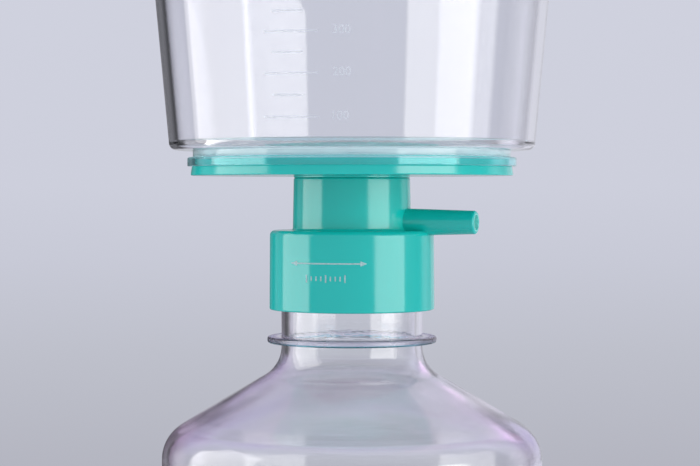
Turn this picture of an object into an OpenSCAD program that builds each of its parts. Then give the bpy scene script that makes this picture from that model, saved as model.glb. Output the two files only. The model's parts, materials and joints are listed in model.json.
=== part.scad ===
// Vacuum filtration unit: a clear funnel welded to a support plate with a disc membrane, on a neck
// adapter with a hose nipple that screws onto the threaded neck of a clear receiver bottle.
// Millimetres, +Z up, origin at the centre of the bottle's base, nipple along +X.

/* [Receiver bottle] */
// Outer diameter of the bottle's wall
bottle_d = 112.2; // [96:0.2:134]
// Height from the base to the lip
bottle_h = 172.2; // [150:0.2:210]
// Wall thickness of the body and the shoulder
bottle_wall = 2; // [1:0.1:2.6]
// Thickness of the base
base_t = 1.8; // [1.2:0.1:2.6]
// Rise of the pushed-up base at its centre
base_rise = 5; // [2:0.5:8]
// Radius of the heel between the wall and the base
heel_r = 7; // [4:0.5:8]
// Slope of the shoulder below the horizontal, in degrees
shoulder_slope = 30.8; // [26:0.1:38]
// Radius between the shoulder and the wall
shoulder_r = 11.3; // [5:0.1:13]

/* [Bottle neck] */
// Diameter of the neck at the root of its thread
neck_d = 41.7; // [34.7:0.1:50.1]
// Thickness of the neck's wall
neck_wall = 2.26; // [1.8:0.02:3]
// Height from the foot of the neck to the lip
neck_h = 36.3; // [35.7:0.1:42]
// Radius between the neck and the shoulder
neck_fillet = 10; // [4:0.1:11]
// Height of the thread's ridge above the neck
thread_h = 1.44; // [1.2:0.02:1.6]
// Lead of the single-start thread
thread_lead = 4; // [3.6:0.1:5]
// Turns of the thread
thread_turns = 1.5; // [1.2:0.1:1.8]
// Depth of the thread's upper end below the lip
thread_drop = 5.7; // [5:0.1:7]
// Width of the support ring beyond the neck
ring_w = 4.15; // [2:0.05:5]
// Thickness of the support ring
ring_t = 1.9; // [1.2:0.1:2.5]
// Depth of the support ring's top below the lip
ring_drop = 27.7; // [26:0.1:28.4]

/* [Neck adapter] */
// Height of the collar
collar_h = 23.4; // [20:0.1:24]
// Wall thickness of the collar at its foot
collar_wall = 1.75; // [1.4:0.05:2.4]
// Thickness of the collar's roof
roof_t = 1.8; // [1.4:0.1:2.4]
// Radius of the collar's upper edge
collar_edge_r = 1.5; // [0.5:0.1:1.6]
// Outer diameter of the riser tube at its foot
tube_d = 35; // [29:0.1:42]
// Wall thickness of the riser tube
tube_wall = 2.2; // [1.6:0.1:2.6]
// Height of the riser tube above the collar
tube_h = 15.45; // [13:0.05:20]
// Thickness of the sealing gasket
gasket_t = 1.8; // [1.2:0.1:2.4]

/* [Hose nipple] */
// Reach of the nipple's tip from the unit's axis
nipple_reach = 38.2; // [34:0.1:45]
// Height of the nipple's axis above the collar's roof
nipple_rise = 2.4; // [2:0.1:4]
// Diameter of the nipple at the riser tube
nipple_root_d = 8; // [7.6:0.1:10]
// Diameter of the nipple at its tip
nipple_tip_d = 6.8; // [6.2:0.1:7.4]
// Diameter of the bore through the nipple
nipple_bore_d = 4.6; // [3:0.1:4.8]
// Length of the fibre plug in the bore
plug_l = 8; // [4:0.5:9]
// Depth of the plug's outer end behind the tip
plug_depth = 6; // [4:0.5:8]

/* [Filter plate] */
// Diameter of the membrane
membrane_d = 90; // [75:0.5:110]
// Thickness of the membrane
membrane_t = 0.15; // [0.1:0.01:0.3]
// Width of the membrane's seat outside the membrane
seat_margin = 1.2; // [0.6:0.1:3]
// Thickness of the plate's rim
plate_t = 2.7; // [2.2:0.1:4]
// Height of the membrane's seat above the rim
seat_h = 1.9; // [1.4:0.1:2]
// Width of the rim outside the seat
rim_w = 1; // [0.8:0.1:2]
// Depth of the drain grid below the membrane
grid_depth = 2; // [1:0.1:2.4]
// Distance from one support ring to the next
grid_pitch = 4.2; // [3.6:0.1:5]
// Width of a support ring
grid_rib = 1.1; // [0.8:0.1:1.4]
// Number of drain channels that reach the drain
channel_count = 8; // [6:1:9]
// Width of a drain channel
channel_w = 2; // [1.4:0.1:2.4]
// Bore of the drain spout
spout_bore_d = 7; // [6:0.2:9]
// Wall thickness of the drain spout
spout_wall = 1.5; // [1.2:0.1:2]
// Length of the drain spout below the plate
spout_l = 32.8; // [24:0.2:38]

/* [Funnel] */
// Width of the bowl's floor outside the skirt
floor_w = 6.8; // [6:0.1:20]
// Height of the bowl from its floor to its rim
bowl_h = 107.1; // [80:0.1:130]
// Outward lean of the bowl's wall, in degrees
bowl_lean = 5.3; // [2:0.1:8]
// Wall thickness of the bowl
bowl_wall = 2.6; // [1.4:0.1:3.2]
// Height of the skirt between the flange and the bowl's floor
skirt_h = 2.1; // [1.8:0.1:6]
// Wall thickness of the skirt
skirt_wall = 2; // [1.6:0.1:2.4]
// Width of the flange beyond the skirt
flange_w = 1.6; // [1:0.1:2.4]
// Height of the flange
flange_h = 2.7; // [2.3:0.1:3.2]
// Width of the bead round the rim
bead_w = 1.6; // [1:0.1:3]
// Height of the bead
bead_h = 3.4; // [2.4:0.1:6]

/* [Lid] */
// Thickness of the lid
lid_t = 1.5; // [1.2:0.1:2.5]
// Depth of the lid's skirt below the rim
lid_skirt = 7; // [5:0.5:12]
// Depth of the locating ring under the lid
locating_ring_h = 2.6; // [2:0.1:5]

/* [Clearances] */
// Radial gap between the neck thread's crest and the collar
thread_gap = 0.35; // [0.3:0.05:0.5]
// Radial gap between the collar thread's crest and the neck
collar_thread_gap = 0.45; // [0.35:0.05:0.6]
// Radial gap between the gasket and the collar
gasket_gap = 0.15; // [0.1:0.05:0.3]
// Radial gap between the plate's spigot and the riser tube
spigot_gap = 0.1; // [0.05:0.05:0.2]
// Radial gap between the plate's seat and the funnel's flange
flange_gap = 0.15; // [0.1:0.05:0.2]
// Radial gap between the lid and the funnel's rim
lid_gap = 0.3; // [0.2:0.05:0.6]
// Radial gap between the plug and the nipple's bore
plug_gap = 0.05; // [0.02:0.01:0.1]

/* [Hidden] */
$fn = 96;
arc_step = 10;
over = 1;
clear_blue = [0.80, 0.86, 0.92, 0.4];
teal = [0.17, 0.69, 0.66];
white = [0.96, 0.96, 0.94];

// Levels, from the lip of the bottle upwards
roof_under_z = bottle_h + gasket_t;
roof_z = roof_under_z + roof_t;
collar_foot_z = roof_z - collar_h;
tube_top_z = roof_z + tube_h;
boss_h = 0.55;
plate_under_z = tube_top_z + boss_h;
rim_z = plate_under_z + plate_t;
seat_z = rim_z + seat_h;
membrane_top_z = seat_z + membrane_t;
grid_floor_z = seat_z - grid_depth;
flange_top_z = rim_z + flange_h;
floor_under_z = flange_top_z + skirt_h;
floor_t = 1.5;
floor_z = floor_under_z + floor_t;
funnel_top_z = floor_under_z + bowl_h;
lid_top_z = funnel_top_z + lid_t;

// The screw thread's ridge: widths at its root and crest, and how far its root lies in the wall
thread_root_w = 0.6 * thread_lead;
thread_crest_w = 0.25 * thread_lead;
thread_sunk = 0.4;
thread_fade = 40;
thread_step = 12;
thread_foot_z = bottle_h - thread_drop - thread_lead * thread_turns;

// Radii that follow from the driving sizes
bottle_r = bottle_d / 2;
neck_r = neck_d / 2;
neck_bore_r = neck_r - neck_wall;
crest_r = neck_r + thread_h;
collar_in_r = crest_r + thread_gap;
collar_draft = 0.15;
collar_r = collar_in_r + collar_wall;
collar_crest_r = neck_r + collar_thread_gap;
tube_r = tube_d / 2;
tube_draft = 0.3;
tube_bore_r = tube_r - tube_wall;
bore_draft = 0.2;
spigot_h = 4;
spigot_wall = 1.5;
spigot_r = tube_bore_r - bore_draft - spigot_gap;
membrane_r = membrane_d / 2;
seat_r = membrane_r + seat_margin;
plate_draft = 0.4;
plate_r = seat_r + rim_w + plate_draft;
lip_w = 1.4;
lip_in_r = membrane_r - lip_w;
lip_overlap = 0.4;
grid_r = lip_in_r - lip_overlap;
spout_r = spout_bore_d / 2 + spout_wall;
spout_draft = 0.3;
flange_in_r = seat_r + flange_gap;
skirt_step = 0.55;
skirt_r = flange_in_r + skirt_step;
flange_r = skirt_r + flange_w;
well_r = skirt_r - skirt_wall;
bowl_r = skirt_r + floor_w;
bowl_top_r = bowl_r + bowl_h * tan(bowl_lean);
bowl_side = bowl_wall / cos(bowl_lean);
bead_r = bowl_top_r + bead_w;
lid_in_r = bead_r + lid_gap;
lid_wall = 1.5;
lid_r = lid_in_r + lid_wall;

// Outlines are lists of corners, each [x, y, radius of its rounding], anticlockwise
function corner_at(c) = [c.x, c.y];
function unit(v) = v / norm(v);
function is_inward(before, at, after) = cross(at - before, after - at) < 0;

// Where a corner's rounding meets its two sides, and the centre of its arc
function rounding(before, at, after, r) =
    let (
        u = unit(before - at),
        v = unit(after - at),
        half = acos(u * v) / 2
    )
    [at + u * r / tan(half), at + v * r / tan(half), at + unit(u + v) * r / sin(half)];

function rounding_of(corners, i) =
    let (n = len(corners))
    rounding(
        corner_at(corners[(i + n - 1) % n]), corner_at(corners[i]), corner_at(corners[(i + 1) % n]),
        corners[i][2]
    );

function inward_at(corners, i) =
    let (n = len(corners))
    is_inward(corner_at(corners[(i + n - 1) % n]), corner_at(corners[i]), corner_at(corners[(i + 1) % n]));

// The part of a rounding's circle between its chord and its corner
module corner_segment(corners, i) {
    ends = rounding_of(corners, i);
    intersection() {
        polygon([ends[0], corner_at(corners[i]), ends[1]]);
        translate(ends[2]) circle(r = corners[i][2]);
    }
}

module rounded(corners) {
    steps = [0:len(corners) - 1];
    difference() {
        union() {
            polygon([
                for (i = steps)
                    each corners[i][2] == 0
                        ? [corner_at(corners[i])]
                        : [rounding_of(corners, i)[0], rounding_of(corners, i)[1]]
            ]);
            for (i = steps)
                if (corners[i][2] > 0 && !inward_at(corners, i)) corner_segment(corners, i);
        }
        for (i = steps)
            if (corners[i][2] > 0 && inward_at(corners, i)) corner_segment(corners, i);
    }
}

module turned(corners) {
    rotate_extrude() rounded(corners);
}

// A rounding as a row of short straight steps
function stepped_arc(corners, i) =
    let (
        ends = rounding_of(corners, i),
        from = ends[0] - ends[2],
        to = ends[1] - ends[2],
        start = atan2(from.y, from.x),
        turn = (atan2(to.y, to.x) - start + 540) % 360 - 180,
        steps = ceil(abs(turn) / arc_step)
    )
    [
        for (k = [0:steps])
            let (angle = start + turn * k / steps)
            ends[2] + corners[i][2] * [cos(angle), sin(angle)]
    ];

// The same with stepped roundings, for a wall whose roundings another surface crosses
module turned_in_steps(corners) {
    rotate_extrude()
        polygon([
            for (i = [0:len(corners) - 1])
                each corners[i][2] == 0 ? [corner_at(corners[i])] : stepped_arc(corners, i)
        ]);
}

// Height of the shoulder's outer cone at radius r
function shoulder_z(r) = bottle_h - neck_h - (r - neck_r) * tan(shoulder_slope);

// Blow-moulded bottle: pushed-up base, straight wall, conical shoulder, neck with a support ring
module bottle_blank() {
    stand_w = 3.5;
    push_w = 5.5;
    push_share = 0.8;
    stand_r = bottle_r - heel_r - stand_w;
    push_r = stand_r - push_w;
    push_z = push_share * base_rise;
    push_shift = base_t * tan(atan2(push_z, stand_r - push_r) / 2);
    shoulder_t = bottle_wall / cos(shoulder_slope);
    wall_in_r = bottle_r - bottle_wall;
    ring_r = neck_r + ring_w;
    ring_top_z = bottle_h - ring_drop;
    turned([
        [0, base_rise, 0],
        [push_r, push_z, 4],
        [stand_r, 0, 1.5],
        [bottle_r, 0, heel_r],
        [bottle_r, shoulder_z(bottle_r), shoulder_r],
        [neck_r, shoulder_z(neck_r), neck_fillet],
        [neck_r, ring_top_z - ring_t, 0.3],
        [ring_r, ring_top_z - ring_t, 0.7],
        [ring_r, ring_top_z, 0.7],
        [neck_r, ring_top_z, 0.3],
        [neck_r, bottle_h, 0.6],
        [neck_bore_r, bottle_h, 0.6],
        [neck_bore_r, shoulder_z(neck_bore_r) - shoulder_t, neck_fillet + bottle_wall],
        [wall_in_r, shoulder_z(wall_in_r) - shoulder_t, shoulder_r - bottle_wall],
        [wall_in_r, base_t, heel_r - bottle_wall],
        [stand_r + push_shift, base_t, 2],
        [push_r + push_shift, push_z + base_t, 4],
        [0, base_rise + base_t, 0],
    ]);
}

// Share of its full height that the ridge has at an angle along it: 0 at both ends, 1 between them
function ridge_share(angle) =
    max(0, min(1, angle / thread_fade, (360 * thread_turns - angle) / thread_fade));

// The ridge's section at an angle: corners in the order root, crest, crest, root, from below
function ridge_section(wall_r, crest_r, foot_z, angle) =
    let (
        outwards = sign(crest_r - wall_r),
        root = wall_r - outwards * thread_sunk,
        hidden = wall_r - outwards * thread_sunk / 2,
        crest = hidden + (crest_r - hidden) * ridge_share(angle),
        z = foot_z + thread_lead * angle / 360
    )
    [
        for (c = [
            [root, z - thread_root_w / 2],
            [crest, z - thread_crest_w / 2],
            [crest, z + thread_crest_w / 2],
            [root, z + thread_root_w / 2],
        ])
            [c.x * cos(angle), c.x * sin(angle), c.y]
    ];

function flipped(face) = [for (k = [len(face) - 1:-1:0]) face[k]];

// Right-hand thread on a round wall, outwards on a neck or inwards in a collar, fading out at its ends
module thread_ridge(wall_r, crest_r, foot_z) {
    steps = ceil(360 * thread_turns / thread_step);
    points = [
        for (i = [0:steps])
            each ridge_section(wall_r, crest_r, foot_z, 360 * thread_turns * i / steps)
    ];
    sides = [
        for (i = [0:steps - 1], k = [0:3])
            let (here = 4 * i + k, beside = 4 * i + (k + 1) % 4)
            each [[here, beside, beside + 4], [here, beside + 4, here + 4]]
    ];
    faces = concat(sides, [[3, 2, 1, 0], [for (k = [0:3]) 4 * steps + k]]);
    polyhedron(points, crest_r > wall_r ? faces : [for (face = faces) flipped(face)]);
}

module bottle() {
    color(clear_blue) {
        bottle_blank();
        thread_ridge(neck_r, crest_r, thread_foot_z);
    }
}

module gasket() {
    color(white)
        translate([0, 0, bottle_h])
            difference() {
                cylinder(h = gasket_t, r = collar_in_r - gasket_gap);
                translate([0, 0, -over]) cylinder(h = gasket_t + 2 * over, r = neck_bore_r);
            }
}

module adapter_outside() {
    turned_in_steps([
        [0, collar_foot_z, 0],
        [collar_r, collar_foot_z, 0.5],
        [collar_r - collar_draft, roof_z, collar_edge_r],
        [tube_r, roof_z, 0.8],
        [tube_r - tube_draft, tube_top_z, 0.6],
        [0, tube_top_z, 0],
    ]);
}

// Space for the bottle's neck under the roof, and the riser tube's bore above it
module adapter_hollow() {
    lead_in = 0.4;
    turned([
        [0, collar_foot_z - over, 0],
        [collar_in_r + lead_in, collar_foot_z - over, 0],
        [collar_in_r + lead_in, collar_foot_z, 0],
        [collar_in_r, collar_foot_z + 2 * lead_in, 0],
        [collar_in_r, roof_under_z, 0],
        [tube_bore_r, roof_under_z, 0],
        [tube_bore_r - bore_draft, tube_top_z, 0],
        [tube_bore_r - bore_draft, tube_top_z + over, 0],
        [0, tube_top_z + over, 0],
    ]);
}

// Lays a solid that stands on the origin along the nipple's axis
module along_nipple(start) {
    translate([start, 0, roof_z + nipple_rise]) rotate([0, 90, 0]) children();
}

module nipple() {
    along_nipple(0)
        turned([
            [0, tube_bore_r - over, 0],
            [nipple_root_d / 2, tube_bore_r - over, 0],
            [nipple_root_d / 2, tube_r, 0],
            [nipple_tip_d / 2, nipple_reach, 0.6],
            [0, nipple_reach, 0],
        ]);
}

// One moulding: riser tube, collar and nipple, with the thread half a lead below the neck's
module neck_adapter() {
    color(teal) {
        difference() {
            union() {
                adapter_outside();
                nipple();
            }
            adapter_hollow();
            along_nipple(tube_bore_r - 2 * over)
                cylinder(h = nipple_reach, d = nipple_bore_d);
        }
        thread_ridge(collar_in_r, collar_crest_r, thread_foot_z - thread_lead / 2);
    }
}

module port_plug() {
    color(white)
        along_nipple(nipple_reach - plug_depth - plug_l)
            cylinder(h = plug_l, d = nipple_bore_d - 2 * plug_gap);
}

// Rings of the grid that fit between the drain and the edge of the recess
function ring_count() = floor((grid_r - spout_r - grid_pitch / 2) / grid_pitch);
function ring_r(i) = grid_r - (i + 1) * grid_pitch;

module plate_blank() {
    draft = 0.1;
    turned_in_steps([
        [spout_bore_d / 2, plate_under_z - spout_l, 0],
        [spout_r, plate_under_z - spout_l, 0.4],
        [spout_r + spout_draft, plate_under_z, 0.8],
        [spigot_r - spigot_wall, plate_under_z, 0.4],
        [spigot_r - spigot_wall, tube_top_z - spigot_h, 0],
        [spigot_r, tube_top_z - spigot_h, 0.4],
        [spigot_r, tube_top_z, 0],
        [tube_r - tube_draft, tube_top_z, 0.15],
        [tube_r - tube_draft, plate_under_z, 0.15],
        [plate_r, plate_under_z, 0.4],
        [plate_r - plate_draft, rim_z, 0.3],
        [seat_r, rim_z, 0],
        [seat_r, seat_z, 0.2],
        [grid_r, seat_z, 0.15],
        [grid_r, grid_floor_z, 0.3],
        for (i = [0:ring_count() - 1]) each [
            [ring_r(i) + grid_rib / 2, grid_floor_z, 0],
            [ring_r(i) + grid_rib / 2 - draft, seat_z, 0],
            [ring_r(i) - grid_rib / 2 + draft, seat_z, 0],
            [ring_r(i) - grid_rib / 2, grid_floor_z, 0],
        ],
        [spout_bore_d / 2, grid_floor_z, 0.8],
    ]);
}

// Channels that lead the filtrate through the rings to the drain, every second one ending short
module drain_channels() {
    groove = 0.4;
    merge_r = spout_r + 2 * grid_pitch;
    for (i = [0:2 * channel_count - 1]) {
        inner_r = i % 2 == 0 ? 0 : merge_r;
        rotate([0, 0, i * 180 / channel_count])
            translate([inner_r, -channel_w / 2, grid_floor_z - groove])
                cube([grid_r - grid_rib - inner_r, channel_w, grid_depth + over]);
    }
}

module filter_plate() {
    color(teal)
        difference() {
            plate_blank();
            drain_channels();
        }
}

module membrane() {
    color(white) translate([0, 0, seat_z]) cylinder(h = membrane_t, r = membrane_r);
}

// Radius of the bowl's outer wall at height z
function bowl_r_at(z) = bowl_r + (z - floor_under_z) * tan(bowl_lean);

module funnel() {
    lip_h = 1.2;
    color(clear_blue)
        turned([
            [flange_in_r, rim_z, 0],
            [flange_r, rim_z, 0.3],
            [flange_r, flange_top_z, 0.5],
            [skirt_r, flange_top_z, 0.3],
            [skirt_r, floor_under_z, 0.5],
            [bowl_r, floor_under_z, 2.2],
            [bowl_r_at(funnel_top_z - bead_h), funnel_top_z - bead_h, 0.3],
            [bead_r, funnel_top_z - bead_h, 0.8],
            [bead_r, funnel_top_z, 0.8],
            [bowl_top_r - bowl_side, funnel_top_z, 0.6],
            [bowl_r_at(floor_z) - bowl_side, floor_z, 1.5],
            [well_r, floor_z, 0.6],
            [well_r, membrane_top_z + lip_h, 0.3],
            [lip_in_r, membrane_top_z + lip_h, 0.4],
            [lip_in_r, membrane_top_z, 0],
            [flange_in_r, membrane_top_z, 0],
        ]);
}

module lid() {
    ring_foot_z = funnel_top_z - locating_ring_h;
    ring_r = bowl_r_at(ring_foot_z) - bowl_side - lid_gap;
    ring_wall = 1.2;
    color(clear_blue)
        turned([
            [0, funnel_top_z, 0],
            [ring_r - ring_wall, funnel_top_z, 0.4],
            [ring_r - ring_wall, ring_foot_z, 0.3],
            [ring_r, ring_foot_z, 0.3],
            [ring_r, funnel_top_z, 0],
            [lid_in_r, funnel_top_z, 0],
            [lid_in_r, funnel_top_z - lid_skirt, 0.3],
            [lid_r, funnel_top_z - lid_skirt, 0.3],
            [lid_r, lid_top_z, 1.2],
            [0, lid_top_z, 0],
        ]);
}

bottle();
gasket();
neck_adapter();
port_plug();
filter_plate();
membrane();
funnel();
lid();
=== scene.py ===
import json
import math

import bpy
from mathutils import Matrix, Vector
from mathutils.bvhtree import BVHTree


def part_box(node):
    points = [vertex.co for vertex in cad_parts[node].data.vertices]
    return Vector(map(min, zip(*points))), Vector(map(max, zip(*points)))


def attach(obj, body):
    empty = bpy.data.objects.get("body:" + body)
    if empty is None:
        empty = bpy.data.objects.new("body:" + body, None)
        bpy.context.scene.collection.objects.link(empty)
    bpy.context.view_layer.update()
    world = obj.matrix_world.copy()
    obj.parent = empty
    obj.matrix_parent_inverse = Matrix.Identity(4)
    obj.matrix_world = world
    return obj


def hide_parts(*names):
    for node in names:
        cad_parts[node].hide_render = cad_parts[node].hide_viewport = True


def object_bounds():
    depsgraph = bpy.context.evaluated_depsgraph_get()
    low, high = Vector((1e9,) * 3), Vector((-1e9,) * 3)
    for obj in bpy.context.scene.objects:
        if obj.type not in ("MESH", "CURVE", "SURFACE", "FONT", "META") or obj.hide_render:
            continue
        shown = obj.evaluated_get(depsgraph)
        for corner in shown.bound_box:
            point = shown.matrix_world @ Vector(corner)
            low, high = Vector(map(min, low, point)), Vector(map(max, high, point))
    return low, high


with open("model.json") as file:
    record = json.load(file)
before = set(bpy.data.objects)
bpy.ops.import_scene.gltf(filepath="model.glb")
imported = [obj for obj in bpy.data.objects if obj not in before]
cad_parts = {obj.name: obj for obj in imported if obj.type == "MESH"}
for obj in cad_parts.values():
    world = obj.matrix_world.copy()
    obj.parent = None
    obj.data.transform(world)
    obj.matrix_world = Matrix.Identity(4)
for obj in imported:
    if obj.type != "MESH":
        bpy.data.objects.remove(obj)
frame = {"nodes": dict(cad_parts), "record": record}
CAD_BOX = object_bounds()
NODES = frame["nodes"]
MM = 0.001

# ---------------------------------------------------------------- node helpers


def srgb(red, green, blue):
    """A colour given in 0 to 255, as the linear colour that Blender works in."""
    def linear(level):
        share = level / 255
        return share / 12.92 if share <= 0.04045 else ((share + 0.055) / 1.055) ** 2.4
    return (linear(red), linear(green), linear(blue), 1.0)


def add_node(tree, kind, inputs=None, **settings):
    """A new shader node, with its settings and its inputs, which are values or other nodes' outputs."""
    made = tree.nodes.new(kind)
    for name, value in settings.items():
        setattr(made, name, value)
    for socket, value in (inputs or {}).items():
        if isinstance(value, bpy.types.NodeSocket):
            tree.links.new(value, made.inputs[socket])
        else:
            made.inputs[socket].default_value = value
    return made


def math_node(tree, operation, *values, clamp=False):
    inputs = dict(enumerate(values))
    return add_node(tree, "ShaderNodeMath", inputs, operation=operation, use_clamp=clamp).outputs[0]


def vector_node(tree, operation, *vectors, result="Vector"):
    inputs = dict(enumerate(vectors))
    return add_node(tree, "ShaderNodeVectorMath", inputs, operation=operation).outputs[result]


def product(tree, first, *others):
    for value in others:
        first = math_node(tree, "MULTIPLY", first, value)
    return first


def own_place(tree):
    """A point's place in the piece's own coordinates."""
    return add_node(tree, "ShaderNodeTexCoord").outputs["Object"]


def part_of(tree, vector, axis):
    return add_node(tree, "ShaderNodeSeparateXYZ", {0: vector}).outputs[axis]


def off_axis(tree, place, across=(1, 1, 0)):
    """How far a place is off an axis, given as the directions across it."""
    return vector_node(tree, "LENGTH", vector_node(tree, "MULTIPLY", place, across), result="Value")


def noise(tree, scale, detail=2.0, roughness=0.5, stretch=(1, 1, 1)):
    """Noise at a scale in cells per metre, stretched along the piece's own axes."""
    place = {"Vector": own_place(tree), "Scale": stretch}
    mapped = add_node(tree, "ShaderNodeMapping", place).outputs[0]
    inputs = {"Vector": mapped, "Scale": scale, "Detail": detail, "Roughness": roughness}
    return add_node(tree, "ShaderNodeTexNoise", inputs).outputs["Fac"]


def spread(tree, value, low, high, from_low=0.3, from_high=0.7):
    """Takes a value's range, which is noise's own unless given, to the range low to high."""
    inputs = {"Value": value, 1: from_low, 2: from_high, 3: low, 4: high}
    return add_node(tree, "ShaderNodeMapRange", inputs).outputs[0]


def blend_colours(tree, share, first, second):
    made = add_node(tree, "ShaderNodeMix", {0: share}, data_type="RGBA")
    for socket, colour in ((6, first), (7, second)):
        if isinstance(colour, bpy.types.NodeSocket):
            tree.links.new(colour, made.inputs[socket])
        else:
            made.inputs[socket].default_value = colour
    return made.outputs[2]


def ramp_node(tree, value, stops):
    """A colour ramp through (place, colour) stops."""
    made = add_node(tree, "ShaderNodeValToRGB", {0: value})
    elements = made.color_ramp.elements
    elements.remove(elements[1])
    elements[0].position = stops[0][0]
    elements[0].color = stops[0][1]
    for place, colour in stops[1:]:
        elements.new(place).color = colour
    return made.outputs[0]


def bump(tree, height, strength, distance, under=None):
    inputs = {"Height": height, "Strength": strength, "Distance": distance}
    if under is not None:
        inputs["Normal"] = under
    return add_node(tree, "ShaderNodeBump", inputs).outputs[0]


def mix_shaders(tree, share, first, second):
    return add_node(tree, "ShaderNodeMixShader", {0: share, 1: first, 2: second}).outputs[0]


def principled(tree, inputs):
    return add_node(tree, "ShaderNodeBsdfPrincipled", inputs).outputs[0]


def new_material(name):
    """A material with its node tree emptied, and the tree."""
    made = bpy.data.materials.new(name)
    made.use_nodes = True
    made.node_tree.nodes.clear()
    return made, made.node_tree


def end_tree(tree, shader, kind="ShaderNodeOutputMaterial"):
    """Ends a material's or the world's node tree with the shader that it shows."""
    tree.links.new(shader, tree.nodes.new(kind).inputs["Surface"])


def new_object(name, data):
    """An object that shows a mesh, lamp or camera in the scene."""
    made = bpy.data.objects.new(name, data)
    bpy.context.scene.collection.objects.link(made)
    return made


def finish_node(name, material):
    """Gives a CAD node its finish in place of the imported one."""
    slots = NODES[name].data.materials
    slots.clear()
    slots.append(material)
    for face in NODES[name].data.polygons:
        face.material_index = 0


# ---------------------------------------------------------------- materials

LAMP_PASSED = (0.96, 0.96, 0.97, 1)
MOULDED_CLEAR = (0.975, 0.98, 0.99, 1)
MOULDED_EDGE = (0.90, 0.87, 0.96, 1)
# Painted teal light: the plate's colour as seen through the clear flange and scattered in the funnel's
# floor.
FLANGE_PAINTED_TEAL = (0.4, 0.95, 0.98, 1)
FLOOR_PAINTED_TEAL = (0.86, 0.965, 0.965, 1)
MOULDED_IOR = 1.57
BLOWN_CLEAR = (0.99, 0.995, 1.0, 1)
STRAIN_VIOLET = (0.66, 0.50, 0.97, 1)
STRAIN_PINK = (0.97, 0.60, 0.94, 1)
# Painted teal: the collar's colour as seen through the bottle's support ring.
RING_PAINTED_TEAL = (0.1, 0.42, 0.58, 1)
BLOWN_IOR = 1.55
TEAL_IOR = 1.72
INK_WHITE = (0.9, 0.9, 0.9, 1)

# How far under the bottle's lip its neck and its shoulder end.
NECK_DEPTH = 38 * MM
SHOULDER_DEPTH = 62 * MM

# The nipple's bore, and the depths between which its painted light ends.
BORE_RADIUS = 2.3 * MM
BORE_PALE_TO = 6 * MM
BORE_PLAIN_FROM = 8 * MM


def clear_surface(tree, colour, roughness, ior, clearness, normal):
    """A clear wall that lets most of a lamp's light through, where true refraction would only cast
    noise."""
    surface = principled(tree, {
        "Base Color": colour,
        "Roughness": roughness,
        "IOR": ior,
        "Transmission Weight": clearness,
        "Normal": normal,
    })
    to_lamp = add_node(tree, "ShaderNodeLightPath").outputs["Is Shadow Ray"]
    passed = add_node(tree, "ShaderNodeBsdfTransparent", {"Color": LAMP_PASSED}).outputs[0]
    end_tree(tree, mix_shaders(tree, to_lamp, surface, passed))


def clear_moulded(weld_foot, weld_radius):
    """Clear moulded polystyrene: even and polished, with a faint violet tone in its thick edges, and
    hazed where it is welded to the coloured plate. There the plate's teal, as seen through and scattered
    in the clear wall, is painted into its colour."""
    material, tree = new_material("clear_moulded")
    facing = add_node(tree, "ShaderNodeLayerWeight", {"Blend": 0.35}).outputs["Facing"]
    tone = math_node(tree, "MULTIPLY", facing, spread(tree, noise(tree, 18), 0.2, 1.0), clamp=True)
    waves = bump(tree, noise(tree, 45, detail=1.0, stretch=(1, 1, 0.45)), 0.04, 0.6 * MM)
    grain = bump(tree, noise(tree, 900, detail=3.0), 0.02, 0.02 * MM, waves)
    plain = blend_colours(tree, tone, MOULDED_CLEAR, MOULDED_EDGE)
    place = own_place(tree)
    height = part_of(tree, place, "Z")
    radius = off_axis(tree, place)
    streaks = spread(tree, noise(tree, 60, detail=2.0, stretch=(1, 1, 6)), 0.6, 1.0)
    over_flange = spread(tree, height, 0.1, 0.9, weld_foot + 2 * MM, weld_foot + 3.2 * MM)
    under = spread(tree, height, 1.0, 0.0, weld_foot + 5.6 * MM, weld_foot + 7.6 * MM)
    inside = spread(tree, radius, 1.0, 0.0, weld_radius, weld_radius + 3.5 * MM)
    in_weld = product(tree, under, inside)
    haze = product(tree, over_flange, in_weld, streaks)
    # Painted teal light over the flange and floor, standing in for the plate seen through the clear
    # wall, where the wall is also hazed.
    painted_teal_light = blend_colours(tree, over_flange, FLANGE_PAINTED_TEAL, FLOOR_PAINTED_TEAL)
    colour = blend_colours(tree, in_weld, plain, painted_teal_light)
    clearness = spread(tree, haze, 1.0, 0.55, 0.0, 1.0)
    roughness = spread(tree, noise(tree, 40), 0.012, 0.03)
    clear_surface(tree, colour, roughness, MOULDED_IOR, clearness, grain)
    return material


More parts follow.
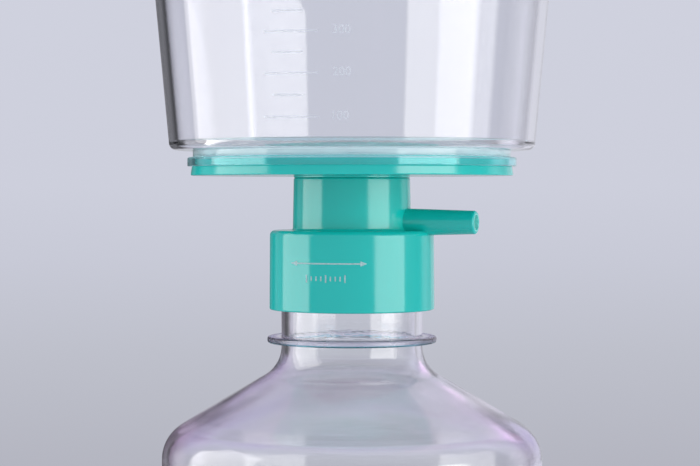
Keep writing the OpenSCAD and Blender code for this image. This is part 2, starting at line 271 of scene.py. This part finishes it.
def clear_blown(neck_foot, shoulder_foot, ring_radius, ring_foot):
    """Clear blown wall: rippled in rings and uneven on the shoulder, with the violet and pink tones that
    strain gives it towards its edges, round the shoulder's foot and in the support ring. The ring's
    lower edge has a painted teal line, standing in for the teal collar above it as seen through the
    ring."""
    material, tree = new_material("clear_blown")
    place = own_place(tree)
    height = part_of(tree, place, "Z")
    radius = off_axis(tree, place)
    facing = add_node(tree, "ShaderNodeLayerWeight", {"Blend": 0.4}).outputs["Facing"]

    # Strain shows where the wall is seen edge on, at the shoulder's corner, and in the support ring.
    grazing = math_node(tree, "POWER", facing, 3.0)
    under = spread(tree, height, 0.9, 0, shoulder_foot + 6 * MM, shoulder_foot + 15 * MM)
    over = spread(tree, height, 0, 1, shoulder_foot - 2 * MM, shoulder_foot + 5 * MM)
    at_corner = product(tree, under, over, math_node(tree, "POWER", facing, 1.4))
    above_neck = spread(tree, height, 0, 0.4, neck_foot, neck_foot + 4 * MM)
    outwards = spread(tree, radius, 0, 1, ring_radius - 3.4 * MM, ring_radius - 2 * MM)
    in_ring = product(tree, above_neck, outwards)
    strain = math_node(tree, "ADD", math_node(tree, "ADD", grazing, at_corner), in_ring)
    blotches = spread(tree, noise(tree, 26), 0.5, 1.3)
    tone = math_node(tree, "MULTIPLY", strain, blotches, clamp=True)
    pink = spread(tree, noise(tree, 33, detail=1.0), 0, 1, 0.42, 0.58)
    pinker = math_node(tree, "SUBTRACT", pink, product(tree, in_ring, 3), clamp=True)
    strained = blend_colours(tree, pinker, STRAIN_VIOLET, STRAIN_PINK)
    toned = blend_colours(tree, tone, BLOWN_CLEAR, strained)
    # Painted teal line on the ring's lower edge, standing in for the collar above as seen through the
    # ring.
    at_rim = spread(tree, radius, 0, 1, ring_radius - 1.4 * MM, ring_radius - 0.7 * MM)
    off_edge = math_node(tree, "ABSOLUTE", math_node(tree, "SUBTRACT", height, ring_foot))
    painted_teal_edge = product(tree, at_rim, spread(tree, off_edge, 1, 0, 0.45 * MM, 0.8 * MM))
    colour = blend_colours(tree, painted_teal_edge, toned, RING_PAINTED_TEAL)

    # The wall is uneven between the neck and the body, where it was blown outwards.
    below_neck = spread(tree, height, 1, 0.3, neck_foot - 3 * MM, neck_foot + 5 * MM)
    above_body = spread(tree, height, 0.14, 1, shoulder_foot - 2 * MM, shoulder_foot + 9 * MM)
    uneven = product(tree, below_neck, above_body)
    swells = product(tree, noise(tree, 60, detail=0.0), uneven)
    rings = noise(tree, 90, detail=3.0, roughness=0.6, stretch=(1, 1, 7))
    ringed = bump(tree, rings, 0.5, 0.06 * MM, bump(tree, swells, 1.0, 1.0 * MM))
    haze = product(tree, math_node(tree, "POWER", uneven, 2.0), 0.08)
    polish = math_node(tree, "ADD", haze, spread(tree, noise(tree, 60), 0.015, 0.04))
    roughness = math_node(tree, "ADD", polish, product(tree, in_ring, 0.6))
    clear_surface(tree, colour, roughness, BLOWN_IOR, 1.0, ringed)
    return material


def teal_plastic(bore_mouth, bore_radius):
    """Opaque glossy moulded plastic, with the faint flow lines and grain of the mould. The nipple's bore
    is paler, as painted light for the light that enters it and that its thin wall lets through."""
    material, tree = new_material("teal_plastic")
    flow = noise(tree, 60, detail=3.0, stretch=(1, 1, 0.3))
    grain = noise(tree, 2500, detail=2.0)
    from_mouth = vector_node(tree, "SUBTRACT", own_place(tree), bore_mouth)
    off_bore = off_axis(tree, from_mouth, across=(0, 1, 1))
    near_axis = spread(tree, off_bore, 1, 0, bore_radius + 0.1 * MM, bore_radius + 0.4 * MM)
    along_bore = part_of(tree, from_mouth, "X")
    # Painted light in the nipple's bore, which is paler towards its mouth.
    bore_painted_light = product(tree, near_axis, spread(tree, along_bore, 0, 1, -BORE_PLAIN_FROM, -BORE_PALE_TO))
    moulded_colour = blend_colours(tree, flow, srgb(15, 196, 184), srgb(25, 204, 192))
    end_tree(tree, principled(tree, {
        "Base Color": blend_colours(tree, bore_painted_light, moulded_colour, srgb(150, 240, 228)),
        "Roughness": spread(tree, flow, 0.10, 0.18),
        "IOR": TEAL_IOR,
        "Subsurface Weight": 0.25,
        "Subsurface Radius": (0.4, 1.0, 1.0),
        "Subsurface Scale": 1.5 * MM,
        "Normal": bump(tree, grain, 0.06, 0.02 * MM, bump(tree, flow, 0.08, 0.4 * MM)),
    }))
    return material


def membrane_film():
    """Matte white filter film with a fine felted surface."""
    material, tree = new_material("membrane_film")
    felt = noise(tree, 3500, detail=4.0, roughness=0.7)
    cloud = noise(tree, 70, detail=2.0)
    end_tree(tree, principled(tree, {
        "Base Color": blend_colours(tree, cloud, srgb(238, 238, 236), srgb(247, 247, 246)),
        "Roughness": spread(tree, felt, 0.75, 0.95),
        "Normal": bump(tree, felt, 0.35, 0.04 * MM),
    }))
    return material


def seal_rubber():
    """Milky silicone of the sealing ring."""
    material, tree = new_material("seal_rubber")
    dust = noise(tree, 1200, detail=3.0)
    end_tree(tree, principled(tree, {
        "Base Color": blend_colours(tree, dust, srgb(222, 226, 228), srgb(236, 238, 239)),
        "Roughness": spread(tree, dust, 0.35, 0.55),
        "Subsurface Weight": 0.3,
        "Subsurface Scale": 1.0 * MM,
        "Normal": bump(tree, dust, 0.1, 0.03 * MM),
    }))
    return material


def plug_fibre():
    """White fibre wadding packed in the nipple."""
    material, tree = new_material("plug_fibre")
    strands = noise(tree, 1600, detail=5.0, roughness=0.75, stretch=(0.35, 1, 1))
    end_tree(tree, principled(tree, {
        "Base Color": blend_colours(tree, strands, srgb(214, 214, 210), srgb(248, 248, 246)),
        "Roughness": spread(tree, strands, 0.8, 1.0),
        "Normal": bump(tree, strands, 0.9, 0.2 * MM),
    }))
    return material


def print_ink(name, colour, cover):
    """Thin matte pad-printed ink, uneven in how well it covers."""
    material, tree = new_material(name)
    speckle = noise(tree, 2600, detail=3.0, roughness=0.6)
    end_tree(tree, principled(tree, {
        "Base Color": blend_colours(tree, speckle, colour, INK_WHITE),
        "Roughness": spread(tree, speckle, 0.45, 0.65),
        "Alpha": spread(tree, speckle, *cover),
        "Normal": bump(tree, speckle, 0.2, 0.02 * MM),
    }))
    return material


bottle_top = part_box("bottle")[1].z
weld_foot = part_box("funnel")[0].z
weld_corners = [corner.co for corner in NODES["funnel"].data.vertices if corner.co.z < weld_foot + MM]
moulded = clear_moulded(weld_foot, max(corner.xy.length for corner in weld_corners))
neck_foot = bottle_top - NECK_DEPTH
neck_corners = [corner.co for corner in NODES["bottle"].data.vertices if corner.co.z > neck_foot]
ring_radius = max(corner.xy.length for corner in neck_corners)
ring_foot = min(corner.z for corner in neck_corners if corner.xy.length > ring_radius - MM)
blown = clear_blown(neck_foot, bottle_top - SHOULDER_DEPTH, ring_radius, ring_foot)
nipple = next(mount for mount in frame["record"]["mounts"] if mount["name"] == "hose_nipple")
teal = teal_plastic(nipple["pos_m"], BORE_RADIUS)
FINISHES = {
    "bottle": blown,
    "funnel": moulded,
    "lid": moulded,
    "neck_adapter": teal,
    "filter_plate": teal,
    "membrane": membrane_film(),
    "gasket": seal_rubber(),
    "port_plug": plug_fibre(),
}
for node_name, finish in FINISHES.items():
    finish_node(node_name, finish)

# ---------------------------------------------------------------- clear shells

# The clear nodes are shown as finer turned meshes of the same outline, because light bends visibly at
# each facet of a clear wall.
SHELL_STEPS = 288
AIR_FILM = 0.03 * MM

# Reading an outline: how close one place's coordinates are, how near the seam its points are, the
# shortest step that is kept, and the angle from which a corner is sharp.
WELD = 1e-7
SEAM_REACH = 3e-7
SHORTEST = 0.012 * MM
CREASE = math.radians(32)

# A step of these lengths that turns by this much is halved.
HALVED_FROM = 0.3 * MM
HALVED_TO = 3 * MM
LEAST_TURN = math.radians(1.5)

# The thread's band on the bottle's neck: the height of its rings, and how far it reaches below and above
# the ridge that the seam cuts through.
THREAD_RING = 0.3 * MM
THREAD_BELOW = 7 * MM
THREAD_ABOVE = 3 * MM

# The neck's own radius is found this near the lip, and the support ring stands out from it by over this.
LIP_BAND = 4 * MM
RING_REACH = 3 * MM


def seam_profile(node):
    """A turned node's half section, read from its own mesh along the seam at +X: (radius, height) points
    in order, closed or from axis to axis, anticlockwise."""
    mesh = NODES[node].data
    spots = [tuple(round(value / WELD) for value in vertex.co) for vertex in mesh.vertices]
    places = {spot: vertex.co for spot, vertex in zip(spots, mesh.vertices)}
    on_seam = {spot for spot, co in places.items() if abs(co.y) < SEAM_REACH and co.x > -SEAM_REACH}
    beside = {}
    for edge in mesh.edges:
        first, second = spots[edge.vertices[0]], spots[edge.vertices[1]]
        if first != second and first in on_seam and second in on_seam:
            beside.setdefault(first, set()).add(second)
            beside.setdefault(second, set()).add(first)
    ends = sorted(spot for spot, others in beside.items() if len(others) == 1)
    at = ends[0] if ends else min(beside)
    chain, before = [at], None
    while True:
        onward = sorted(spot for spot in beside[at] if spot != before)
        if not onward or (before is not None and onward[0] == chain[0]):
            break
        before, at = at, onward[-1] if before is None else onward[0]
        chain.append(at)
    points = []
    for spot in chain:
        point = (max(places[spot].x, 0.0), places[spot].z)
        if not points or math.dist(points[-1], point) > SHORTEST:
            points.append(point)
    if ends:
        first, last = points[0], points[-1]
        points = [(0.0, first[1])] * (first[0] > WELD) + points + [(0.0, last[1])] * (last[0] > WELD)
    area = sum(a[0] * b[1] - b[0] * a[1] for a, b in zip(points, points[1:] + points[:1]))
    return points if area > 0 else points[::-1]


def profile_normals(points):
    """For each step of a profile, the outward normals at its two ends, smooth except at creases."""
    count = len(points)
    steps = [Vector(points[(i + 1) % count]) - Vector(points[i]) for i in range(count)]
    flats = [Vector((step.y, -step.x)).normalized() for step in steps]

    def shared(i):
        if points[i][0] < WELD or flats[i - 1].angle(flats[i], 0.0) > CREASE:
            return None
        return (flats[i - 1] * steps[i - 1].length + flats[i] * steps[i].length).normalized()

    corners = [shared(i) for i in range(count)]
    return [(corners[i] or flats[i], corners[(i + 1) % count] or flats[i]) for i in range(count)]


def refined(points):
    """The profile with the steps of its larger roundings halved along their arcs."""
    slopes = profile_normals(points)
    made = []
    for i, point in enumerate(points):
        made.append(point)
        start, end = slopes[i]
        beyond = points[(i + 1) % len(points)]
        step = Vector(beyond) - Vector(point)
        turn = start.angle(end, 0.0)
        if HALVED_FROM < step.length < HALVED_TO and turn > LEAST_TURN:
            bulge = step.length / 2 * math.tan(turn / 4)
            outwards = 1 if start.cross(end) > 0 else -1
            middle = (Vector(point) + Vector(beyond)) / 2 + outwards * bulge * (start + end).normalized()
            made.append((middle.x, middle.y))
    return made


def turned_shell(name, node, body, points, material, reshape=None):
    """A profile turned round the axis as one closed mesh with exact normals, shown in the node's place.
    reshape takes a radius, height and angle, and gives a new radius, or None where the wall is plain."""
    vertices, rings, plain = [], [], []
    for radius, height in points:
        plain.append(reshape is None or reshape(radius, height, 0) is None)
        if radius < WELD:
            rings.append([len(vertices)] * SHELL_STEPS)
            vertices.append((0.0, 0.0, height))
            continue
        rings.append(list(range(len(vertices), len(vertices) + SHELL_STEPS)))
        for step in range(SHELL_STEPS):
            angle = 2 * math.pi * step / SHELL_STEPS
            reach = radius if plain[-1] else reshape(radius, height, angle)
            vertices.append((reach * math.cos(angle), reach * math.sin(angle), height))
    faces, normals = [], []
    for i, slopes in enumerate(profile_normals(points)):
        here, beyond = rings[i], rings[(i + 1) % len(points)]
        if here[0] == here[1] and beyond[0] == beyond[1]:
            continue
        for step in range(SHELL_STEPS):
            after = (step + 1) % SHELL_STEPS
            corners = {here[step]: (0, step), here[after]: (0, step + 1)}
            for vertex, corner in ((beyond[after], (1, step + 1)), (beyond[step], (1, step))):
                corners.setdefault(vertex, corner)
            faces.append(list(corners))
            for end, turn in corners.values():
                angle = 2 * math.pi * turn / SHELL_STEPS
                # A zero normal leaves a reshaped corner to its faces' own smooth normals.
                slope = slopes[end] * plain[(i + end) % len(points)]
                normals.append((slope.x * math.cos(angle), slope.x * math.sin(angle), slope.y))
    mesh = bpy.data.meshes.new(name)
    mesh.from_pydata(vertices, [], faces)
    mesh.polygons.foreach_set("use_smooth", [True] * len(faces))
    mesh.normals_split_custom_set(normals)
    mesh.materials.append(material)
    shell = new_object(name, mesh)
    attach(shell, body)
    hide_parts(node)


def seated(points, height, lift=AIR_FILM):
    """The profile with its faces at a height moved by a film of air, so that touching faces don't
    coincide."""
    return [(r, z + lift if abs(z - height) < SEAM_REACH else z) for r, z in points]


funnel_foot, funnel_top = (corner.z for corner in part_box("funnel"))
membrane_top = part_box("membrane")[1].z
funnel_outline = seam_profile("funnel")
funnel_points = refined(seated(seated(funnel_outline, funnel_foot, -AIR_FILM), membrane_top))
turned_shell("funnel_shell", "funnel", "filter_unit", funnel_points, moulded)
turned_shell("lid_shell", "lid", "lid", refined(seated(seam_profile("lid"), funnel_top)), moulded)


def bottle_shell():
    """The bottle's shell, with its neck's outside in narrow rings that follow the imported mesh's screw
    thread."""
    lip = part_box("bottle")[1].z
    outline = seated(seam_profile("bottle"), lip, -AIR_FILM)
    neck_r = max(r for r, z in outline if z > lip - LIP_BAND)
    ring_top = max(z for r, z in outline if r > neck_r + RING_REACH)
    ridge = [z for r, z in outline if r > neck_r + WELD and z > ring_top + MM]
    low = min(ridge) - THREAD_BELOW
    high = max(ridge) + THREAD_ABOVE
    blank = [(r, z) for r, z in outline if not (r > neck_r - MM and low < z < high)]
    lip_at = max(range(len(blank)), key=lambda i: blank[i][1])
    after = max(i for i in range(lip_at) if blank[i][1] <= low)
    count = math.ceil((high - low) / THREAD_RING)
    rings = [(neck_r, low + (high - low) * k / count) for k in range(count + 1)]
    points = refined(blank[:after + 1]) + rings + blank[after + 1:]
    packed = BVHTree.FromPolygons(
        [vertex.co for vertex in NODES["bottle"].data.vertices],
        [face.vertices for face in NODES["bottle"].data.polygons],
    )

    def with_thread(radius, height, angle):
        if abs(radius - neck_r) > WELD or not low < height < high:
            return None
        out = Vector((math.cos(angle), math.sin(angle), 0))
        met = packed.ray_cast(out * 2 * neck_r + Vector((0, 0, height)), -out)[0]
        reach = met.xy.length if met else radius
        return reach if reach > neck_r + 2 * AIR_FILM else radius

    turned_shell("bottle_shell", "bottle", "bottle", points, blown, with_thread)


bottle_shell()

# ---------------------------------------------------------------- printed marks

# Print is thin ink on a turned wall. Each shape is drawn flat, as (across, height) corners and faces,
# and laid on the wall straight back from the side that it is read from.
PRINT_TURN = math.radians(-70.5)
print_out = Vector((math.cos(PRINT_TURN), math.sin(PRINT_TURN), 0))
print_right = Vector((-print_out.y, print_out.x, 0))

# How far the ink's underside and top stand off the wall, the longest flat step of a bar, and the share
# of the font's size that a figure fills.
INK_LIFT = 0.01 * MM
INK_TOP = 0.04 * MM
INK_STEP = 1.2 * MM
FIGURE_SHARE = 0.7


def crossings(outline, height):
    """The radii at which an outline passes a height, smallest first."""
    found = []
    for (r1, z1), (r2, z2) in zip(outline, outline[1:] + outline[:1]):
        if (z1 <= height) != (z2 <= height):
            found.append(r1 + (r2 - r1) * (height - z1) / (z2 - z1))
    return sorted(found)


def bar(left, right, middle, thick):
    """A level bar, in short steps so that it bends round the wall."""
    steps = max(1, round((right - left) / INK_STEP))
    across = [left + (right - left) * step / steps for step in range(steps + 1)]
    corners = [(x, middle + side * thick / 2) for x in across for side in (-1, 1)]
    return corners, [(2 * i, 2 * i + 2, 2 * i + 3, 2 * i + 1) for i in range(steps)]


def triangle(tip, back, middle, half):
    """An arrow's head, from its tip to its back."""
    corners = [(tip, middle), (back, middle + half), (back, middle - half)]
    return corners, [(0, 2, 1) if tip < back else (0, 1, 2)]


def figures(text, left, middle, tall):
    """Plain figures in Blender's own font, of a height."""
    curve = bpy.data.curves.new("figures", "FONT")
    curve.body = text
    curve.size = tall / FIGURE_SHARE
    curve.resolution_u = 3
    holder = bpy.data.objects.new("figures", curve)
    flat = holder.to_mesh()
    places = [vertex.co.copy() for vertex in flat.vertices]
    faces = [tuple(face.vertices) for face in flat.polygons]
    holder.to_mesh_clear()
    bpy.data.objects.remove(holder)
    bpy.data.curves.remove(curve)
    start = min(place.x for place in places)
    centre = (min(place.y for place in places) + max(place.y for place in places)) / 2
    return [(place.x - start + left, place.y - centre + middle) for place in places], faces


def printed(name, body, wall, shapes, material):
    """Lays flat shapes on a wall, given as a radius for each height, as thin closed solids of ink."""
    vertices, faces = [], []
    for corners, flat_faces in shapes:
        base, count = len(vertices), len(corners)
        for depth in (INK_LIFT, INK_TOP):
            for across, height in corners:
                radius = wall(height)
                turn = math.asin(across / radius)
                out = math.cos(turn) * print_out + math.sin(turn) * print_right
                vertices.append((radius + depth) * out + Vector((0, 0, height)))
        edges = {(face[i - 1], face[i]) for face in flat_faces for i in range(len(face))}
        for face in flat_faces:
            faces.append([base + count + i for i in face])
            faces.append([base + i for i in reversed(face)])
        for a, b in sorted(edges):
            if (b, a) not in edges:
                faces.append([base + a, base + b, base + count + b, base + count + a])
    mesh = bpy.data.meshes.new(name)
    mesh.from_pydata(vertices, [], faces)
    mesh.validate()
    mesh.materials.append(material)
    piece = new_object(name, mesh)
    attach(piece, body)


FIRST_MARK = 12.8 * MM
FIRST_VOLUME = 100
LAST_MARK = 5 * MM
MARK_LINE = 0.42 * MM
LONG_MARK = (-23.7 * MM, -9.1 * MM)
SHORT_MARK = (-21.4 * MM, -13.4 * MM)
FIGURE_LEFT = -5.2 * MM
FIGURE_LIFT = 0.4 * MM
FIGURE_TALL = 2.4 * MM
STEP_ML = 50
CUBIC_METRES_PER_ML = 1e-6


def funnel_scale():
    """The bowl's scale: a mark for each 50 millilitres, as far apart as the bowl's width makes them."""
    shapes, height, volume = [], funnel_foot + FIRST_MARK, FIRST_VOLUME
    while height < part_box("lid")[0].z - LAST_MARK:
        whole = volume % 100 == 0
        shapes.append(bar(*(LONG_MARK if whole else SHORT_MARK), height, MARK_LINE))
        if whole:
            shapes.append(figures(str(volume), FIGURE_LEFT, height + FIGURE_LIFT, FIGURE_TALL))
        area = math.pi * crossings(funnel_outline, height)[0] ** 2
        height += STEP_ML * CUBIC_METRES_PER_ML / area
        volume += STEP_ML
    ink = print_ink("scale_ink", srgb(240, 241, 247), (0.2, 0.42))
    printed("funnel_scale", "filter_unit", lambda z: crossings(funnel_outline, z)[-1], shapes, ink)


ARROW_HEIGHT = 14.2 * MM
ARROW_ENDS = (-17.6 * MM, 4.3 * MM)
ARROW_LINE = 0.4 * MM
HEAD_LONG = 1.9 * MM
HEAD_HALF = 0.75 * MM
TICK_HEIGHT = 9.9 * MM
TICK_ENDS = (-13 * MM, -2 * MM)
TICK_COUNT = 9
TICK_HALF = 0.18 * MM
LONG_TICK = 2.2 * MM
SHORT_TICK = 1.3 * MM


def collar_mark():
    """The collar's turning mark: an arrow for both ways, over a row of ticks."""
    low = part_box("neck_adapter")[0]
    middle = low.z + ARROW_HEIGHT
    corners = [corner.co for corner in NODES["neck_adapter"].data.vertices]
    radius = max(corner.xy.length for corner in corners if corner.z < middle)
    left, right = ARROW_ENDS
    shapes = [bar(left + HEAD_LONG, right - HEAD_LONG, middle, ARROW_LINE)]
    shapes.append(triangle(left, left + HEAD_LONG, middle, HEAD_HALF))
    shapes.append(triangle(right, right - HEAD_LONG, middle, HEAD_HALF))
    for tick in range(TICK_COUNT):
        across = TICK_ENDS[0] + (TICK_ENDS[1] - TICK_ENDS[0]) * tick / (TICK_COUNT - 1)
        tall = LONG_TICK if tick % 4 == 0 else SHORT_TICK
        shapes.append(bar(across - TICK_HALF, across + TICK_HALF, low.z + TICK_HEIGHT, tall))
    ink = print_ink("collar_ink", srgb(186, 230, 228), (0.4, 0.7))
    printed("collar_mark", "filter_unit", lambda z: radius, shapes, ink)


funnel_scale()
collar_mark()

# ---------------------------------------------------------------- camera

VIEW_TURN = math.radians(19.5)
VIEW_DISTANCE = 0.6
VIEW_HEIGHT = 0.187
AIM_HEIGHT = 0.1749
AIM_SIDE = -0.00059
LENS = 104.4
SENSOR_WIDTH = 36
CLIP_START = 0.01
CLIP_END = 20

to_camera = Vector((math.sin(VIEW_TURN), -math.cos(VIEW_TURN), 0))
to_right = Vector((math.cos(VIEW_TURN), math.sin(VIEW_TURN), 0))


def make_camera():
    data = bpy.data.cameras.new("camera")
    data.lens = LENS
    data.sensor_width = SENSOR_WIDTH
    data.clip_start = CLIP_START
    data.clip_end = CLIP_END
    camera = new_object("camera", data)
    camera.location = VIEW_DISTANCE * to_camera + Vector((0, 0, VIEW_HEIGHT))
    aim = AIM_SIDE * to_right + Vector((0, 0, AIM_HEIGHT))
    camera.rotation_mode = "QUATERNION"
    camera.rotation_quaternion = (aim - camera.location).to_track_quat("-Z", "Y")
    bpy.context.scene.camera = camera


make_camera()

# ---------------------------------------------------------------- lights

# Turns are degrees round the axis from the camera, positive to the right.
BOX_DISTANCE = 1.0
PANEL_DISTANCE = 1.01
PANEL_WHITE = (1, 0.99, 0.97, 1)

# The heights at which a panel's low and high shine are reached, and the width over which its sides fade.
SHINE_LOW = 0.1
SHINE_HIGH = 0.5
EDGE_FADE = 0.045


def facing(turn):
    """The level direction at a turn from the camera."""
    return math.cos(math.radians(turn)) * to_camera + math.sin(math.radians(turn)) * to_right


def place_facing(thing, turn, distance, height):
    """Puts a lamp or a panel at a turn from the camera, facing the axis."""
    thing.location = distance * facing(turn) + Vector((0, 0, height))
    thing.rotation_mode = "QUATERNION"
    thing.rotation_quaternion = (-facing(turn)).to_track_quat("-Z", "Y")


def is_deeper(tree, depth):
    """1 for a ray that has met a surface of a kind, given as the Light Path's depth for it."""
    return math_node(tree, "GREATER_THAN", depth, 0.5)


def softbox(name, turns, heights, power, low_shine, high_shine):
    """A tall soft lamp between two turns and two heights, and the panel that mirrors show in its place.
    The panel shines only in a mirrored view, with the strengths given for its two sides low down and
    high up."""
    turn = sum(turns) / 2
    width = 2 * BOX_DISTANCE * math.tan(math.radians(turns[1] - turns[0]) / 2)
    tall = heights[1] - heights[0]
    centre = sum(heights) / 2
    data = bpy.data.lights.new(name, "AREA")
    data.shape = "RECTANGLE"
    data.size = width
    data.size_y = tall
    data.energy = power * math.pi * width * tall
    lamp = new_object(name, data)
    place_facing(lamp, turn, BOX_DISTANCE, centre)
    lamp.visible_camera = False
    lamp.visible_glossy = False
    lamp.visible_transmission = False

    mesh = bpy.data.meshes.new(name + "_panel")
    x, y = width / 2, tall / 2
    mesh.from_pydata([(-x, -y, 0), (x, -y, 0), (x, y, 0), (-x, y, 0)], [], [(0, 1, 2, 3)])
    panel = new_object(name + "_panel", mesh)
    place_facing(panel, turn, PANEL_DISTANCE, centre)
    panel.visible_camera = False
    panel.visible_diffuse = False
    panel.visible_shadow = False
    material, tree = new_material(name + "_panel")
    material.cycles.emission_sampling = "NONE"
    place = own_place(tree)
    across = part_of(tree, place, "X")
    low = spread(tree, across, *low_shine, -x, x)
    high = spread(tree, across, *high_shine, -x, x)
    shine = spread(tree, part_of(tree, place, "Y"), low, high, SHINE_LOW - centre, SHINE_HIGH - centre)
    faded = spread(tree, math_node(tree, "ABSOLUTE", across), 1, 0, x - EDGE_FADE, x)
    inputs = {"Color": PANEL_WHITE, "Strength": product(tree, shine, faded)}
    glow = add_node(tree, "ShaderNodeEmission", inputs).outputs[0]
    clear = add_node(tree, "ShaderNodeBsdfTransparent").outputs[0]
    mirrored = is_deeper(tree, add_node(tree, "ShaderNodeLightPath").outputs["Glossy Depth"])
    end_tree(tree, mix_shaders(tree, mirrored, clear, glow))
    mesh.materials.append(material)


softbox("softbox_right", (30, 78.5), (-0.45, 0.56), 2.6, (2.8, 2.8), (3.8, 3.8))
softbox("softbox_left", (-112.5, -59.5), (-0.45, 1.15), 1.6, (2.15, 2.85), (2.8, 2.25))

# ---------------------------------------------------------------- world

# What is seen or seen through: the backdrop's colours, from a little below the horizon to above it.
BACKDROP_LOW = -0.16
BACKDROP_HIGH = 0.12
BACKDROP = (
    (0.0, srgb(175, 176, 187)),
    (0.29, srgb(190, 192, 203)),
    (0.46, srgb(200, 202, 215)),
    (0.58, srgb(205, 207, 220)),
    (1.0, srgb(208, 210, 223)),
)

# What is mirrored: the studio's grey by turn, bluish, with a violet glow from a lamp high up behind.
STUDIO = (
    (-180, 0.58),
    (-173, 0.5),
    (-168, 0.1),
    (-158, 0.14),
    (-152, 0.2),
    (-147, 0.05),
    (-138, 0.06),
    (-133, 0.42),
    (-124, 0.42),
    (-112, 0.35),
    (-60, 0.32),
    (-50, 0.44),
    (30, 0.44),
    (85, 0.5),
    (103, 0.3),
    (111, 0.34),
    (117, 0.85),
    (126, 0.85),
    (134, 0.5),
    (139, 0.42),
    (144, 0.68),
    (170, 0.68),
    (173, 0.58),
    (180, 0.58),
)
STUDIO_GREEN = 1.01
STUDIO_BLUE = 1.12
GLOW_TURN = 148
GLOW_RISE = math.radians(25)
GLOW_REACH = math.radians(11)
GLOW_CORE = GLOW_REACH / 3
GLOW_COLOUR = (1.42, 1.1, 1.46, 1)

# The dark flag behind on the left, which only bent rays reach, and the paler, violet studio over it.
FLAG_TURN = math.radians(-148)
FLAG_INNER = math.radians(4)
FLAG_OUTER = math.radians(8)
FLAG_COLOUR = (0.03, 0.03, 0.05, 1)
FLAG_COVER = 0.95
OVER_INNER = math.radians(24)
OVER_OUTER = math.radians(40)
OVER_LOW = math.radians(9)
OVER_HIGH = math.radians(24)
OVER_COVER = 0.85
OVER_COLOUR = (0.5, 0.43, 0.64, 1)

FILL_COLOUR = (0.7, 0.9, 1.1, 1)
FILL_STRENGTH = 0.52


def make_world():
    """A pale backdrop for what is seen or seen through, with a narrow dark flag behind on the left that
    only bent rays reach, the darker studio for what is mirrored, and a plain soft fill for the rest."""
    world = bpy.data.worlds.new("studio")
    bpy.context.scene.world = world
    world.use_nodes = True
    tree = world.node_tree
    tree.nodes.clear()
    direction = add_node(tree, "ShaderNodeTexCoord").outputs["Generated"]
    height = part_of(tree, direction, "Z")

    def along(axis):
        return vector_node(tree, "DOT_PRODUCT", direction, axis, result="Value")

    backdrop = ramp_node(tree, spread(tree, height, 0, 1, BACKDROP_LOW, BACKDROP_HIGH), BACKDROP)
    turn = math_node(tree, "ARCTAN2", along(to_right), along(to_camera))
    stops = [
        ((degrees + 180) / 360, (shade, shade * STUDIO_GREEN, shade * STUDIO_BLUE, 1))
        for degrees, shade in STUDIO
    ]
    studio = ramp_node(tree, spread(tree, turn, 0, 1, -math.pi, math.pi), stops)
    glow_side = facing(GLOW_TURN) * math.cos(GLOW_RISE) + Vector((0, 0, math.sin(GLOW_RISE)))
    in_glow = spread(tree, along(glow_side), 0, 1, math.cos(GLOW_REACH), math.cos(GLOW_CORE))
    studio = blend_colours(tree, in_glow, studio, GLOW_COLOUR)

    off_flag = math_node(tree, "ABSOLUTE", math_node(tree, "SUBTRACT", turn, FLAG_TURN))
    higher = spread(tree, height, 0, OVER_COVER, math.sin(OVER_LOW), math.sin(OVER_HIGH))
    over_flag = product(tree, higher, spread(tree, off_flag, 1, 0, OVER_INNER, OVER_OUTER))
    studio = blend_colours(tree, over_flag, studio, OVER_COLOUR)
    path = add_node(tree, "ShaderNodeLightPath").outputs
    on_flag = spread(tree, off_flag, FLAG_COVER, 0, FLAG_INNER, FLAG_OUTER)
    bent = is_deeper(tree, path["Transmission Depth"])
    flagged = blend_colours(tree, product(tree, on_flag, bent), backdrop, FLAG_COLOUR)

    seen = add_node(tree, "ShaderNodeBackground", {"Color": flagged}).outputs[0]
    mirrored = add_node(tree, "ShaderNodeBackground", {"Color": studio}).outputs[0]
    plain = {"Color": FILL_COLOUR, "Strength": FILL_STRENGTH}
    fill = add_node(tree, "ShaderNodeBackground", plain).outputs[0]
    clearly = mix_shaders(tree, is_deeper(tree, path["Glossy Depth"]), seen, mirrored)
    scattered = is_deeper(tree, path["Diffuse Depth"])
    end_tree(tree, mix_shaders(tree, scattered, clearly, fill), "ShaderNodeOutputWorld")


make_world()

# ---------------------------------------------------------------- stage

FLOOR_RADIUS = 0.7
FLOOR_SOLID = 0.25
FLOOR_CORNERS = 96
FLOOR_COLOUR = srgb(224, 216, 216)


def make_floor():
    """A round pale floor that fades out into the backdrop with distance."""
    mesh = bpy.data.meshes.new("floor")
    turns = [2 * math.pi * i / FLOOR_CORNERS for i in range(FLOOR_CORNERS)]
    rim = [(FLOOR_RADIUS * math.cos(turn), FLOOR_RADIUS * math.sin(turn), 0) for turn in turns]
    mesh.from_pydata(rim, [], [list(range(FLOOR_CORNERS))])
    floor = new_object("floor", mesh)
    floor.location.z = CAD_BOX[0].z
    material, tree = new_material("floor_card")
    reach = vector_node(tree, "LENGTH", own_place(tree), result="Value")
    inputs = {"Value": reach, 1: FLOOR_SOLID, 2: FLOOR_RADIUS, 3: 0.0, 4: 1.0}
    gone = add_node(tree, "ShaderNodeMapRange", inputs, interpolation_type="SMOOTHSTEP").outputs[0]
    card = add_node(tree, "ShaderNodeBsdfDiffuse", {"Color": FLOOR_COLOUR}).outputs[0]
    clear = add_node(tree, "ShaderNodeBsdfTransparent").outputs[0]
    end_tree(tree, mix_shaders(tree, gone, card, clear))
    mesh.materials.append(material)


make_floor()

MOST_BOUNCES = 24
MIRROR_BOUNCES = 12

scene = bpy.context.scene
scene.view_settings.view_transform = "Standard"
scene.cycles.max_bounces = MOST_BOUNCES
scene.cycles.transmission_bounces = MOST_BOUNCES
scene.cycles.glossy_bounces = MIRROR_BOUNCES
scene.cycles.transparent_max_bounces = MOST_BOUNCES
